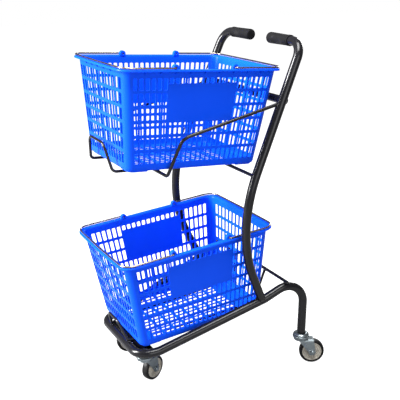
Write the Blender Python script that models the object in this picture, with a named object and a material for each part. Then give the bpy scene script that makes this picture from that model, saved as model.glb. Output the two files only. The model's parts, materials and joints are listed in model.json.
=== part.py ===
"""Two-tier basket trolley: bent tube frame, four swivel castors and two lift-off hand baskets.

Metres, +Z up.  The trolley's nose points along -Y and the push handles are at +Y.  The origin is on
the floor, under the middle of the whole trolley.  "Left" is the user's left, which is +X.
"""
import math
import bmesh
import bpy
from mathutils import Matrix, Vector

# driving dimensions
gap = 0.0003                # clearance between pieces that touch
tubeRadius = 0.0125         # main 25 mm frame tube
rodRadius = 0.0047          # cross bars and side hoop
cradleRadius = 0.0040       # wire cradle under each basket
bailRadius = 0.0024         # folding wire handles of the baskets
barRadius = 0.0110          # thick bar behind the upper basket

kneeX = 0.2185              # half distance between the uprights at their lower bend
kneeY = 0.0030
handleX = 0.2010            # and at the top, where they lean in
legX = 0.2000               # half distance between the rear legs
legY = 0.2517
frontY = -0.2515            # middle of the tube across the nose
frontCastorX = 0.0995
frontCastorY = -0.2190
handleY = 0.2035
handleZ = 0.9570
gripInner = 0.0480          # the two grips end this far from the middle
gripLength = 0.1000
gripRadius = 0.0158

castorTop = 0.0976
wheelRadius = 0.0373
wheelHalfWidth = 0.0110
hubRadius = 0.0288
castorTrail = 0.0340

basketTopHalf = (0.1670, 0.2240)      # outside of the walls under the rim
basketFloorHalf = (0.1375, 0.1935)    # outside of the walls at the floor
rimHalf = (0.1790, 0.2345)
basketWall = 0.0025
rimTop = 0.2685
lipDrop = 0.0045
rimBow = 0.0030                       # how far the short ends bulge outwards
bailPivotY = 0.0860
bailPivotZ = 0.2720
lugInner = 0.1625                     # the lugs stand on the rim between these distances
lugOuter = 0.1740
baskets = {
    "upper": {"place": (0.0, -0.0842, 0.6322), "tilt": -3.15},
    "lower": {"place": (0.0, -0.0495, 0.1526), "tilt": 5.72},
}
sides = (("left", 1), ("right", -1))


def clearScene():
    for thing in list(bpy.data.objects):
        bpy.data.objects.remove(thing, do_unlink=True)


def makeMaterial(name, colour, roughness, metallic):
    material = bpy.data.materials.new(name)
    material.use_nodes = True
    shader = material.node_tree.nodes["Principled BSDF"]
    shader.inputs["Base Color"].default_value = (*colour, 1.0)
    shader.inputs["Roughness"].default_value = roughness
    shader.inputs["Metallic"].default_value = metallic
    return material


def addObject(name, data, look, parent=None, turn=None, place=(0, 0, 0)):
    """Link a new object; each node keeps a material of its own."""
    thing = bpy.data.objects.new(name, data)
    bpy.context.scene.collection.objects.link(thing)
    data.materials.clear()
    data.materials.append(makeMaterial(name + "_finish", *look))
    thing.location = place
    if turn:
        thing.rotation_euler = turn
    thing.parent = parent
    return thing


def addEmpty(name, place, turn=(0, 0, 0), parent=None):
    empty = bpy.data.objects.new(name, None)
    bpy.context.scene.collection.objects.link(empty)
    empty.location = place
    empty.rotation_euler = turn
    empty.parent = parent
    return empty


# finishes: colour, roughness, metallic
blackPaint = ((0.012, 0.012, 0.015), 0.28, 0.35)
gripRubber = ((0.015, 0.015, 0.016), 0.75, 0.0)
zincPlate = ((0.62, 0.65, 0.68), 0.30, 1.0)
tyreRubber = ((0.018, 0.018, 0.019), 0.70, 0.0)
hubPlastic = ((0.36, 0.35, 0.31), 0.45, 0.0)
brightWire = ((0.60, 0.57, 0.53), 0.22, 1.0)
bluePlastic = ((0.006, 0.10, 0.80), 0.32, 0.0)


def roundedPath(corners, stepDegrees=12.0):
    """Points along straight runs joined by arcs; each corner is (x, y, z, bend radius)."""
    points = [Vector(corners[0][:3])]
    for before, here, after in zip(corners, corners[1:], corners[2:]):
        corner = Vector(here[:3])
        inward = (corner - Vector(before[:3])).normalized()
        outward = (Vector(after[:3]) - corner).normalized()
        angle = inward.angle(outward)
        if angle < 0.02 or here[3] == 0:
            points.append(corner)
            continue
        reach = here[3] * math.tan(angle / 2)
        start = corner - inward * reach
        axis = inward.cross(outward).normalized()
        centre = start + axis.cross(inward) * here[3]
        count = max(2, math.ceil(math.degrees(angle) / stepDegrees))
        for step in range(count + 1):
            turn = Matrix.Rotation(angle * step / count, 3, axis)
            points.append(centre + turn @ (start - centre))
    points.append(Vector(corners[-1][:3]))
    return points


def mirrored(corners):
    """Add the right-hand half of a path that starts on the left and stops at the middle."""
    return corners + [(-x, y, z, r) for x, y, z, r in reversed(corners)]


def bentRod(name, corners, radius, look, sides=2, parent=None, stepDegrees=12.0):
    """A round bar of one radius along a bent path, closed at both ends."""
    points = roundedPath(corners, stepDegrees)
    curve = bpy.data.curves.new(name, "CURVE")
    curve.dimensions = "3D"
    curve.bevel_depth = radius
    curve.bevel_resolution = sides
    curve.use_fill_caps = True
    spline = curve.splines.new("POLY")
    spline.points.add(len(points) - 1)
    for target, point in zip(spline.points, points):
        target.co = (*point, 1.0)
        target.radius = 1.0
    spline.use_smooth = True
    return addObject(name, curve, look, parent)


def meshRod(name, corners, radius, look, sides=2, stepDegrees=12.0):
    """The same bar as a mesh, which a Boolean can cut."""
    guide = bentRod(name + "_guide", corners, radius, look, sides, None, stepDegrees)
    mesh = bpy.data.meshes.new_from_object(guide)
    bpy.data.objects.remove(guide, do_unlink=True)
    return addObject(name, mesh, look)


def notch(bar, rooms):
    """Cut a bar's ends to fit round the tubes that it meets."""
    for room in rooms:
        useTool(bar, room, "DIFFERENCE")


def turned(name, profile, look, steps=20, parent=None, place=(0, 0, 0), turn=None, closed=False):
    """Turn a profile of (radius, height) pairs about its own Z axis."""
    mesh = bpy.data.meshes.new(name)
    points = [(radius, 0.0, height) for radius, height in profile]
    edges = [(i, i + 1) for i in range(len(points) - 1)]
    if closed:
        edges.append((len(points) - 1, 0))
    mesh.from_pydata(points, edges, [])
    thing = addObject(name, mesh, look, parent, turn, place)
    screw = thing.modifiers.new("turn", "SCREW")
    screw.steps = steps
    screw.render_steps = steps
    screw.use_merge_vertices = True
    screw.merge_threshold = 0.00001
    screw.use_smooth_shade = True
    return thing


def prism(name, outline, low, high, look, parent=None, place=(0, 0, 0), turn=None):
    """Extrude a flat outline in XY from one height to another."""
    shape = bmesh.new()
    floor = shape.faces.new([shape.verts.new((x, y, low)) for x, y in outline])
    extruded = bmesh.ops.extrude_face_region(shape, geom=[floor])
    lifted = [v for v in extruded["geom"] if isinstance(v, bmesh.types.BMVert)]
    bmesh.ops.translate(shape, verts=lifted, vec=(0, 0, high - low))
    bmesh.ops.recalc_face_normals(shape, faces=shape.faces)
    mesh = bpy.data.meshes.new(name)
    shape.to_mesh(mesh)
    shape.free()
    return addObject(name, mesh, look, parent, turn, place)


def boxMesh(name, low, high):
    """A cutter or a lug: a plain box between two corners."""
    outline = [(low[0], low[1]), (high[0], low[1]), (high[0], high[1]), (low[0], high[1])]
    return prism(name, outline, low[2], high[2], bluePlastic)


def useTool(body, tool, operation):
    """Join or cut with another object, which then stays hidden as a guide."""
    modifier = body.modifiers.new(tool.name, "BOOLEAN")
    modifier.operation = operation
    modifier.solver = "EXACT"
    modifier.object = tool
    tool.hide_render = True
    tool.display_type = "WIRE"


def circlePoints(radius, count, start=0.0, centre=(0.0, 0.0), sweep=360.0):
    whole = abs(sweep) >= 360.0
    steps = count if whole else count - 1
    angles = [math.radians(start + sweep * i / steps) for i in range(count)]
    return [(centre[0] + radius * math.cos(a), centre[1] + radius * math.sin(a)) for a in angles]


# frame

def buildBase():
    """Rear legs, sloping sides and nose, bent from one tube; returns the room that it takes up."""
    side = [
        (legX, legY, castorTop + gap, 0.0),
        (legX, legY, 0.2905, 0.058),
        (0.1875, 0.1250, 0.2290, 0.110),
        (0.1400, -0.1940, 0.1150, 0.060),
        (0.1300, frontY, 0.1090, 0.048),
    ]
    bentRod("base_tube", mirrored(side), tubeRadius, blackPaint, sides=4)
    return meshRod("base_room", mirrored(side), tubeRadius + gap, blackPaint, sides=4)


def buildUpright(side, way, baseRoom):
    """One bent tube from its foot on the base up to the stub inside the grip."""
    corners = [
        (way * 0.1862, 0.1130, 0.2280, 0.0),
        (way * kneeX, kneeY, 0.4620, 0.380),
        (way * handleX, handleY, handleZ, 0.045),
        (way * (gripInner + 0.0033), handleY, handleZ, 0.0),
    ]
    tube = meshRod("upright_" + side, corners, tubeRadius, blackPaint, sides=4, stepDegrees=9.0)
    notch(tube, [baseRoom])
    return meshRod("upright_room_" + side, corners, tubeRadius + gap, blackPaint, 4, 9.0)


def buildGrip(side, way):
    """A closed-end sleeve over the handle stub."""
    bore = tubeRadius + gap
    profile = [
        (0.0, gripLength), (gripRadius - 0.004, gripLength), (gripRadius, gripLength - 0.004),
        (gripRadius, 0.003), (gripRadius - 0.002, 0.0), (bore, 0.0),
        (bore, gripLength - 0.003), (0.0, gripLength - 0.003),
    ]
    turned("grip_" + side, profile, gripRubber, steps=16,
           place=(way * (gripInner + gripLength), handleY, handleZ),
           turn=(0.0, math.radians(-90 * way), 0.0))


def crossBar(name, halfLength, y, z, radius, sides, joinedTubes):
    """A straight bar along X, its ends notched round the tubes that it is welded to."""
    ends = [(halfLength, y, z, 0.0), (-halfLength, y, z, 0.0)]
    bar = meshRod(name, ends, radius, blackPaint, sides=sides)
    notch(bar, joinedTubes)


def buildCrossBars(uprights):
    crossBar("back_bar", 0.2080, 0.1562, 0.8055, barRadius, 4, uprights)
    crossBar("shelf_cross_bar", 0.2060, 0.0600, 0.6106, rodRadius, 2, uprights)
    crossBar("rear_cross_bar", 0.2040, 0.1900, 0.2730, rodRadius, 2, [])


def buildSideHoop(uprights):
    """One rod from upright to upright, along both sides of the upper basket and under it."""
    half = [
        (0.2060, 0.1265, 0.7984, 0.0),
        (0.1870, -0.1440, 0.7305, 0.032),
        (0.1380, -0.1640, 0.6208, 0.016),
    ]
    hoop = meshRod("upper_side_hoop", mirrored(half), rodRadius, blackPaint)
    notch(hoop, uprights)


def buildCradles():
    """Wire runners under each basket, bent up at the nose into a stop."""
    upper = [
        (0.0790, 0.0660, 0.6194, 0.0),
        (0.0790, -0.2940, 0.6360, 0.014),
        (0.0490, -0.3075, 0.7090, 0.030),
    ]
    lower = [
        (0.0880, 0.1876, 0.2678, 0.0),
        (0.0880, 0.1510, 0.1682, 0.020),
        (0.0700, -0.2250, 0.1302, 0.030),
        (0.0600, -0.2530, 0.1272, 0.010),
        (0.0360, -0.2720, 0.1790, 0.026),
    ]
    bentRod("upper_cradle_wire", mirrored(upper), cradleRadius, blackPaint)
    bentRod("lower_cradle_wire", mirrored(lower), cradleRadius, blackPaint)


def buildCastorPlate():
    """Flat plate inside the nose of the base tube, with the front castors' stems through it."""
    half = [(0.1220, -0.2405, 0.0, 0.036), (0.1235, -0.2080, 0.0, 0.010), (0.1360, -0.1905, 0.0, 0.0)]
    corners = mirrored(half[::-1])
    path = roundedPath(corners, 15.0)
    outline = [(point.x, point.y) for point in path]
    low = castorTop + gap
    prism("castor_plate", outline, low, low + 0.003, blackPaint)
    for side, way in sides:
        name = "plate_bolt_" + side
        head = [(0.0, 0.0030), (0.0032, 0.0026), (0.0050, 0.0012), (0.0052, 0.0), (0.0, 0.0)]
        turned(name, head, zincPlate, steps=12, place=(way * 0.037, -0.2330, low + 0.003 + gap))
        nut = circlePoints(0.0085, 6, start=15.0)
        prism("stem_nut_" + side, nut, 0.0, 0.0065, zincPlate,
              place=(way * frontCastorX, frontCastorY, low + 0.003 + gap))


# castors

def buildFork(name, pivot):
    """Pressed fork: a round head plate and two cheeks that narrow down to the axle."""
    headLow = castorTop - 0.0214
    headHigh = castorTop - 0.0189
    cheek = [(-0.0095, headHigh), (0.0370, headHigh)]
    cheek += circlePoints(0.0105, 9, start=12.0, centre=(castorTrail, wheelRadius), sweep=-204.0)
    head = circlePoints(0.0215, 20)
    fork = prism(name, head, headLow, headHigh, zincPlate, parent=pivot)
    for side, way in sides:
        tool = prism(name + "_cheek_" + side, [(z, y) for y, z in cheek], -0.00125, 0.00125, zincPlate,
                     parent=pivot, place=(way * 0.0148, 0.0, 0.0), turn=(0.0, math.radians(-90), 0.0))
        useTool(fork, tool, "UNION")
    bridge = prism(name + "_bridge", [(-0.0148, 0.0), (0.0148, 0.0), (0.0148, 0.038), (-0.0148, 0.038)],
                   headLow, headHigh, zincPlate, parent=pivot)
    useTool(fork, bridge, "UNION")
    drill = prism(name + "_drill", circlePoints(0.0043, 12), -0.03, 0.03, zincPlate, parent=pivot,
                  place=(0.0, castorTrail, wheelRadius), turn=(0.0, math.radians(90), 0.0))
    useTool(fork, drill, "DIFFERENCE")


def buildWheel(name, pivot, way):
    """Hub and tyre on an axle bolt whose head is on the trolley's outer side."""
    turn = (0.0, math.radians(90 * way), 0.0)
    axle = addEmpty(name + "_axle", (0.0, castorTrail, wheelRadius), turn, pivot)
    bolt = [(0.0, 0.0208), (0.0045, 0.0208), (0.0068, 0.0195), (0.0068, 0.0164), (0.0040, 0.0164),
            (0.0040, -0.0225), (0.0, -0.0225)]
    turned(name + "_axle_bolt", bolt, zincPlate, steps=12, parent=axle)
    nut = [(0.0072, -0.0164), (0.0072, -0.0208), (0.0050, -0.0208), (0.0050, -0.0164)]
    turned(name + "_axle_nut", nut, zincPlate, steps=6, parent=axle, closed=True)
    half = [(hubRadius, 0.0), (hubRadius, 0.0100), (0.0258, 0.0100), (0.0248, 0.0070), (0.0095, 0.0070),
            (0.0095, 0.0115), (0.0043, 0.0115)]
    back = [(radius, -height) for radius, height in reversed(half[1:])]
    turned(name + "_hub", (back + half)[::-1], hubPlastic, steps=20, parent=axle, closed=True)
    inner = hubRadius + gap
    shoulder = wheelRadius - 0.0010
    rim = [(inner, -0.0095), (0.0335, -wheelHalfWidth), (shoulder, -0.0095), (wheelRadius, -0.0060),
           (wheelRadius, 0.0060), (shoulder, 0.0095), (0.0335, wheelHalfWidth), (inner, 0.0095)]
    turned(name + "_tyre", rim[::-1], tyreRubber, steps=24, parent=axle, closed=True)


def buildCastor(name, x, y, swivel):
    """A swivel castor under (x, y), its fork turned by swivel degrees about the stem."""
    pivot = addEmpty(name + "_pivot", (x, y, 0.0), (0.0, 0.0, math.radians(swivel)))
    top = castorTop
    cap = [(0.0, top), (0.0160, top), (0.0200, top - 0.0012), (0.0225, top - 0.0040),
           (0.0225, top - 0.0070), (0.0, top - 0.0070)]
    turned(name + "_cap", cap, zincPlate, place=(x, y, 0.0))
    high = top - 0.0070 - gap
    race = [(0.0, high), (0.0235, high), (0.0247, high - 0.0015), (0.0247, high - 0.0060),
            (0.0215, high - 0.0113), (0.0, high - 0.0113)]
    turned(name + "_race", race, zincPlate, parent=pivot)
    buildFork(name + "_fork", pivot)
    buildWheel(name, pivot, math.copysign(1, x))


def buildCastors():
    buildCastor("castor_rear_left", legX, legY, -27.0)
    buildCastor("castor_rear_right", -legX, legY, 27.0)
    buildCastor("castor_front_left", frontCastorX, frontCastorY, 24.0)
    buildCastor("castor_front_right", -frontCastorX, frontCastorY, -6.0)


# baskets

def rimRing(halfX, halfY, radius, z, bow=0.0, perCorner=4):
    """A rounded rectangle whose short ends bulge outwards by bow."""
    ring = []
    for signX, signY, start in ((1, 1, 0), (-1, 1, 90), (-1, -1, 180), (1, -1, 270)):
        centreX = signX * (halfX - radius)
        centreY = signY * (halfY - radius)
        ring += circlePoints(radius, perCorner + 1, start, (centreX, centreY), 90.0)
        if start in (0, 180):
            ring += [(signX * (halfX - radius) * k, signY * halfY) for k in (0.5, 0.0, -0.5)]
    bulge = [bow * max(0.0, 1 - (x / (halfX - radius)) ** 2) if abs(y) > halfY - radius else 0.0
             for x, y in ring]
    return [(x, y + math.copysign(push, y), z) for (x, y), push in zip(ring, bulge)]


def loft(name, rings, look, parent):
    """Bridge a row of rings into one closed body, capped at both ends."""
    shape = bmesh.new()
    rows = [[shape.verts.new(point) for point in ring] for ring in rings]
    for lower, upper in zip(rows, rows[1:]):
        for i in range(len(lower)):
            j = (i + 1) % len(lower)
            shape.faces.new((lower[i], lower[j], upper[j], upper[i]))
    shape.faces.new(rows[0][::-1])
    shape.faces.new(rows[-1])
    bmesh.ops.recalc_face_normals(shape, faces=shape.faces)
    mesh = bpy.data.meshes.new(name)
    shape.to_mesh(mesh)
    shape.free()
    return addObject(name, mesh, look, parent)


def basketRings():
    """From the outside of the floor up the walls, round the rim's lip and down inside."""
    (topX, topY), (floorX, floorY), (rimX, rimY) = basketTopHalf, basketFloorHalf, rimHalf
    wall = basketWall
    underRim = rimTop - 0.0025
    return [
        rimRing(floorX - 0.0015, floorY - 0.0015, 0.0205, 0.0),
        rimRing(floorX, floorY, 0.0220, 0.0020),
        rimRing(topX, topY, 0.0250, underRim, rimBow),
        rimRing(rimX - 0.0020, rimY - 0.0020, 0.0330, underRim, rimBow),
        rimRing(rimX - 0.0020, rimY - 0.0020, 0.0330, rimTop - lipDrop, rimBow),
        rimRing(rimX, rimY, 0.0350, rimTop - lipDrop, rimBow),
        rimRing(rimX, rimY, 0.0350, rimTop - 0.0010, rimBow),
        rimRing(rimX - 0.0010, rimY - 0.0010, 0.0340, rimTop, rimBow),
        rimRing(topX - wall, topY - wall, 0.0225, rimTop, rimBow),
        rimRing(floorX - wall, floorY - wall, 0.0195, wall),
    ]


def buildBail(name, way, parent):
    """Wire handle folded down on the rim; its ends turn in through the two lugs."""
    pivot = addEmpty(name + "_pivot", (0.0, way * bailPivotY, bailPivotZ), parent=parent)
    outX = rimHalf[0] - 0.0015
    reach = rimHalf[1] - 0.0020 - bailPivotY
    half = [
        (lugInner + 0.0020, 0.0, 0.0, 0.0),
        (outX, 0.0, 0.0, 0.0045),
        (outX, way * reach, 0.0, 0.0330),
        (0.0600, way * (reach + 0.6 * rimBow), 0.0, 0.0),
        (0.0100, way * (reach + rimBow), 0.0, 0.0),
    ]
    bentRod(name, mirrored(half), bailRadius, brightWire, sides=2, parent=pivot, stepDegrees=18.0)


def buildBasket(tier, place, tilt):
    seat = addEmpty(tier + "_basket_seat", place, (math.radians(tilt), 0.0, 0.0))
    shell = loft(tier + "_basket", basketRings(), bluePlastic, seat)
    for end, way in (("front", -1), ("rear", 1)):
        for side, sign in sides:
            name = "%s_lug_%s_%s" % (tier, end, side)
            inner, outer = sorted((sign * lugInner, sign * lugOuter))
            lug = boxMesh(name, (inner, way * bailPivotY - 0.0085, rimTop - 0.0020),
                          (outer, way * bailPivotY + 0.0085, bailPivotZ + 0.0090))
            lug.parent = seat
            useTool(shell, lug, "UNION")
        drill = prism("%s_pin_drill_%s" % (tier, end), circlePoints(0.0028, 10), -0.19, 0.19, bluePlastic,
                      parent=seat, place=(0.0, way * bailPivotY, bailPivotZ),
                      turn=(0.0, math.radians(90), 0.0))
        useTool(shell, drill, "DIFFERENCE")
        buildBail("%s_bail_%s" % (tier, end), way, seat)


def main():
    clearScene()
    baseRoom = buildBase()
    uprights = []
    for side, way in sides:
        uprights.append(buildUpright(side, way, baseRoom))
        buildGrip(side, way)
    buildCrossBars(uprights)
    buildSideHoop(uprights)
    buildCradles()
    buildCastorPlate()
    buildCastors()
    for tier, spec in baskets.items():
        buildBasket(tier, spec["place"], spec["tilt"])


main()
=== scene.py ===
import json
import math

import bmesh
import bpy
from mathutils import Matrix, Vector


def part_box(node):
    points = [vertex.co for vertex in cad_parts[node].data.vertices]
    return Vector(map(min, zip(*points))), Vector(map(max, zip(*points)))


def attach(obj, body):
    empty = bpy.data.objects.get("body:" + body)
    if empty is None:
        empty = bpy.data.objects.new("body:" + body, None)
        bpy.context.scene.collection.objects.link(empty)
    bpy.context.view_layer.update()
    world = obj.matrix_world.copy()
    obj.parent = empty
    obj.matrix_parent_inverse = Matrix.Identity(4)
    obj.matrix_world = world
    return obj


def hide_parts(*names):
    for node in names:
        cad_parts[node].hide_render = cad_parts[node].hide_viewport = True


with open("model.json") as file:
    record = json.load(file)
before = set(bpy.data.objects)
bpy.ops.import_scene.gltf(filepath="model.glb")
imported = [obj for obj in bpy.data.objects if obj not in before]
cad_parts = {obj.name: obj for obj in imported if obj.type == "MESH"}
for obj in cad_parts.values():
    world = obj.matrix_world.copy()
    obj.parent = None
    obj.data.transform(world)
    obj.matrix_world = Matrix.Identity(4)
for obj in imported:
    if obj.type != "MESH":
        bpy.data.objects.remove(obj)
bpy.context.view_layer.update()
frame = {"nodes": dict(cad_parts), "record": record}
jointFacts = {joint["name"]: joint for joint in frame["record"]["behaviour"]["joints"]}
sides = (("left", 1), ("right", -1))
print("frame loaded:", len(frame["nodes"]), "nodes")


# node trees

class Signal:
    # an output socket; arithmetic on it adds Math nodes to its tree
    def __init__(self, bench, socket):
        self.bench = bench
        self.socket = socket

    def also(self, name):
        return Signal(self.bench, self.socket.node.outputs[name])

    def __add__(self, other):
        return self.bench.math("ADD", self, other)

    def __sub__(self, other):
        return self.bench.math("SUBTRACT", self, other)

    def __rsub__(self, other):
        return self.bench.math("SUBTRACT", other, self)

    def __mul__(self, other):
        return self.bench.math("MULTIPLY", self, other)

    def __mod__(self, other):
        return self.bench.math("MODULO", self, other)

    def __gt__(self, other):
        return self.bench.math("GREATER_THAN", self, other)

    def __lt__(self, other):
        return self.bench.math("LESS_THAN", self, other)

    def __and__(self, other):
        return self.bench.math("MULTIPLY", self, other)

    def __or__(self, other):
        return self.bench.math("MAXIMUM", self, other)

    __radd__ = __add__
    __rmul__ = __mul__


class Bench:
    # adds nodes to one tree: a type, its settings, then values or links for its sockets
    def __init__(self, tree):
        self.tree = tree

    def node(self, kind, settings=None, inputs=None, output=0):
        made = self.tree.nodes.new(kind)
        for name, value in (settings or {}).items():
            if name == "stops":
                self.setStops(made.color_ramp, value)
            else:
                setattr(made, name, value)
        for name, value in (inputs or {}).items():
            self.feed(made.inputs[name], value)
        return Signal(self, made.outputs[output])

    def feed(self, socket, value):
        if isinstance(value, Signal):
            self.tree.links.new(value.socket, socket)
        else:
            socket.default_value = value

    def setStops(self, ramp, stops):
        while len(ramp.elements) < len(stops):
            ramp.elements.new(0.5)
        for element, (place, shade) in zip(ramp.elements, stops):
            element.position = place
            element.color = (*shade, 1.0) if isinstance(shade, tuple) else (shade, shade, shade, 1.0)

    def math(self, operation, *terms):
        return self.node("ShaderNodeMath", {"operation": operation}, dict(enumerate(terms)))

    def mix(self, share, first, second):
        settings = {"data_type": "RGBA"}
        # sockets 6 and 7 are the two colours of a Mix node, and 2 its colour result
        first = first if isinstance(first, Signal) else (*first, 1.0)
        second = second if isinstance(second, Signal) else (*second, 1.0)
        return self.node("ShaderNodeMix", settings, {0: share, 6: first, 7: second}, output=2)


class Finish(Bench):
    # a Principled material on Object coordinates
    def __init__(self, name, **fixed):
        self.material = bpy.data.materials.new(name)
        self.material.use_nodes = True
        super().__init__(self.material.node_tree)
        self.shader = self.tree.nodes["Principled BSDF"]
        self.place = self.node("ShaderNodeTexCoord", output="Object")
        for socket, value in fixed.items():
            self.shader.inputs[socket.replace("_", " ")].default_value = value

    def noise(self, scale, detail=3.0, stretch=None, roughness=0.5):
        place = self.place
        if stretch:
            place = self.node("ShaderNodeMapping", None, {"Vector": place, "Scale": stretch})
        wanted = {"Vector": place, "Scale": scale, "Detail": detail, "Roughness": roughness}
        return self.node("ShaderNodeTexNoise", None, wanted)

    def ramp(self, value, low, high):
        return self.node("ShaderNodeMapRange", {"interpolation_type": "SMOOTHSTEP"},
                         {"Value": value, "From Min": low, "From Max": high})

    def paint(self, colour=None, roughness=None, metallic=None, height=None, depth=0.0002, strength=0.4):
        if colour is not None:
            self.feed(self.shader.inputs["Base Color"], colour)
        if roughness is not None:
            self.feed(self.shader.inputs["Roughness"], roughness)
        if metallic is not None:
            self.feed(self.shader.inputs["Metallic"], metallic)
        if height is not None:
            bump = self.node("ShaderNodeBump", None,
                             {"Strength": strength, "Distance": depth, "Height": height})
            self.feed(self.shader.inputs["Normal"], bump)
        return self.material


# finishes

def makeFramePaint():
    paint = Finish("glossBlackPowderCoat", Specular_IOR_Level=0.22, Coat_Weight=0.08, Coat_Roughness=0.06,
                   IOR=1.46)
    cloud = paint.noise(9.0, 4.0)
    peel = paint.noise(620.0, 2.0)
    scuff = paint.ramp(paint.noise(95.0, 6.0, roughness=0.7), 0.62, 0.74)
    colour = paint.mix(cloud, (0.0035, 0.0035, 0.0045), (0.0090, 0.0088, 0.0105))
    colour = paint.mix(scuff * 0.30, colour, (0.030, 0.029, 0.031))
    roughness = 0.17 + cloud * 0.10 + scuff * 0.18
    return paint.paint(colour, roughness, height=peel, depth=0.00012, strength=0.35)


def makeGripRubber():
    grip = Finish("mattBlackGripRubber", IOR=1.45, Specular_IOR_Level=0.12)
    grain = grip.node("ShaderNodeTexVoronoi", None, {"Vector": grip.place, "Scale": 900.0})
    worn = grip.ramp(grip.noise(38.0, 5.0), 0.48, 0.72)
    colour = grip.mix(worn, (0.003, 0.003, 0.0035), (0.011, 0.0105, 0.0105))
    roughness = 0.78 - worn * 0.26
    return grip.paint(colour, roughness, height=grain + worn * 0.4, depth=0.00030, strength=0.5)


def makeZinc():
    zinc = Finish("brightZincPlate", Anisotropic=0.25)
    spangle = zinc.noise(70.0, 5.0)
    stain = zinc.ramp(zinc.noise(26.0, 6.0, roughness=0.65), 0.50, 0.78)
    colour = zinc.mix(spangle, (0.13, 0.155, 0.17), (0.25, 0.285, 0.30))
    colour = zinc.mix(stain * 0.55, colour, (0.09, 0.105, 0.11))
    roughness = 0.20 + spangle * 0.18 + stain * 0.20
    metallic = 1.0 - stain * 0.25
    return zinc.paint(colour, roughness, metallic, zinc.noise(420.0, 3.0), 0.00010, 0.35)


def makeTyreRubber():
    tyre = Finish("castorTyreRubber", IOR=1.5, Specular_IOR_Level=0.12)
    dust = tyre.ramp(tyre.noise(60.0, 7.0, roughness=0.7), 0.46, 0.76)
    colour = tyre.mix(dust, (0.004, 0.004, 0.0045), (0.016, 0.015, 0.014))
    roughness = 0.42 + dust * 0.38
    return tyre.paint(colour, roughness, height=tyre.noise(350.0, 4.0), depth=0.0003, strength=0.4)


def makeHubPlastic():
    hub = Finish("greyBeigeHubPlastic", IOR=1.46)
    speck = hub.noise(260.0, 4.0)
    grime = hub.ramp(hub.noise(48.0, 6.0), 0.44, 0.72)
    colour = hub.mix(speck, (0.27, 0.25, 0.21), (0.40, 0.38, 0.33))
    colour = hub.mix(grime * 0.6, colour, (0.15, 0.13, 0.11))
    roughness = 0.38 + grime * 0.30
    return hub.paint(colour, roughness, height=speck, depth=0.00015, strength=0.4)


def makeBasketPlastic():
    plastic = Finish("royalBlueBasketPlastic", IOR=1.47, Specular_IOR_Level=0.07)
    flow = plastic.noise(7.0, 5.0, (1.0, 1.0, 0.35))
    grain = plastic.noise(520.0, 3.0)
    rub = plastic.ramp(plastic.noise(120.0, 7.0, roughness=0.72), 0.60, 0.76)
    colour = plastic.mix(flow, (0.0012, 0.050, 0.62), (0.0022, 0.066, 0.74))
    colour = plastic.mix(rub * 0.10, colour, (0.02, 0.10, 0.62))
    roughness = 0.30 + flow * 0.12 + rub * 0.18
    return plastic.paint(colour, roughness, height=grain, depth=0.00012, strength=0.35)


def makeBrightWire():
    wire = Finish("brightPlatedWire")
    haze = wire.noise(55.0, 5.0)
    drawn = wire.noise(700.0, 2.0, (1.0, 0.15, 1.0))
    colour = wire.mix(haze, (0.15, 0.13, 0.11), (0.36, 0.32, 0.28))
    roughness = 0.13 + haze * 0.16 + drawn * 0.08
    return wire.paint(colour, roughness, 1.0, drawn, 0.00008, 0.3)


looks = {
    "frame_paint": makeFramePaint(),
    "grip_rubber": makeGripRubber(),
    "zinc": makeZinc(),
    "castor_tyre": makeTyreRubber(),
    "castor_hub": makeHubPlastic(),
    "basket_plastic": makeBasketPlastic(),
    "bail_wire": makeBrightWire(),
}
nodeSlots = {part["node"]: part["material_slot"] for part in frame["record"]["subparts"]}
for nodeName, nodeObject in frame["nodes"].items():
    nodeObject.data.materials.clear()
    nodeObject.data.materials.append(looks[nodeSlots[nodeName]])
print("finishes made:", len(looks))


# mesh helpers

def addPiece(name, mesh, slotName, body, replaced=(), place=None):
    if place is not None:
        mesh.transform(place)
    mesh.materials.clear()
    mesh.materials.append(looks[slotName])
    mesh.shade_smooth()
    mesh.set_sharp_from_angle(angle=math.radians(38))
    piece = bpy.data.objects.new(name, mesh)
    bpy.context.scene.collection.objects.link(piece)
    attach(piece, body)
    if replaced:
        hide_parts(*replaced)
    return piece


def meshFrom(shape, name, recalculate=True):
    if recalculate:
        bmesh.ops.recalc_face_normals(shape, faces=shape.faces)
    mesh = bpy.data.meshes.new(name)
    shape.to_mesh(mesh)
    shape.free()
    return mesh


def roundedPath(corners, stepDegrees=5.0):
    # straight runs joined by arcs; each corner is (x, y, z, bend radius)
    points = [Vector(corners[0][:3])]
    for before, here, after in zip(corners, corners[1:], corners[2:]):
        corner = Vector(here[:3])
        inward = (corner - Vector(before[:3])).normalized()
        outward = (Vector(after[:3]) - corner).normalized()
        angle = inward.angle(outward)
        if angle < 0.02 or here[3] == 0:
            points.append(corner)
            continue
        start = corner - inward * here[3] * math.tan(angle / 2)
        axis = inward.cross(outward).normalized()
        centre = start + axis.cross(inward) * here[3]
        count = max(2, math.ceil(math.degrees(angle) / stepDegrees))
        for step in range(count + 1):
            turn = Matrix.Rotation(angle * step / count, 3, axis)
            points.append(centre + turn @ (start - centre))
    points.append(Vector(corners[-1][:3]))
    return points


def mirrored(corners):
    return corners + [(-x, y, z, r) for x, y, z, r in reversed(corners)]


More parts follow.
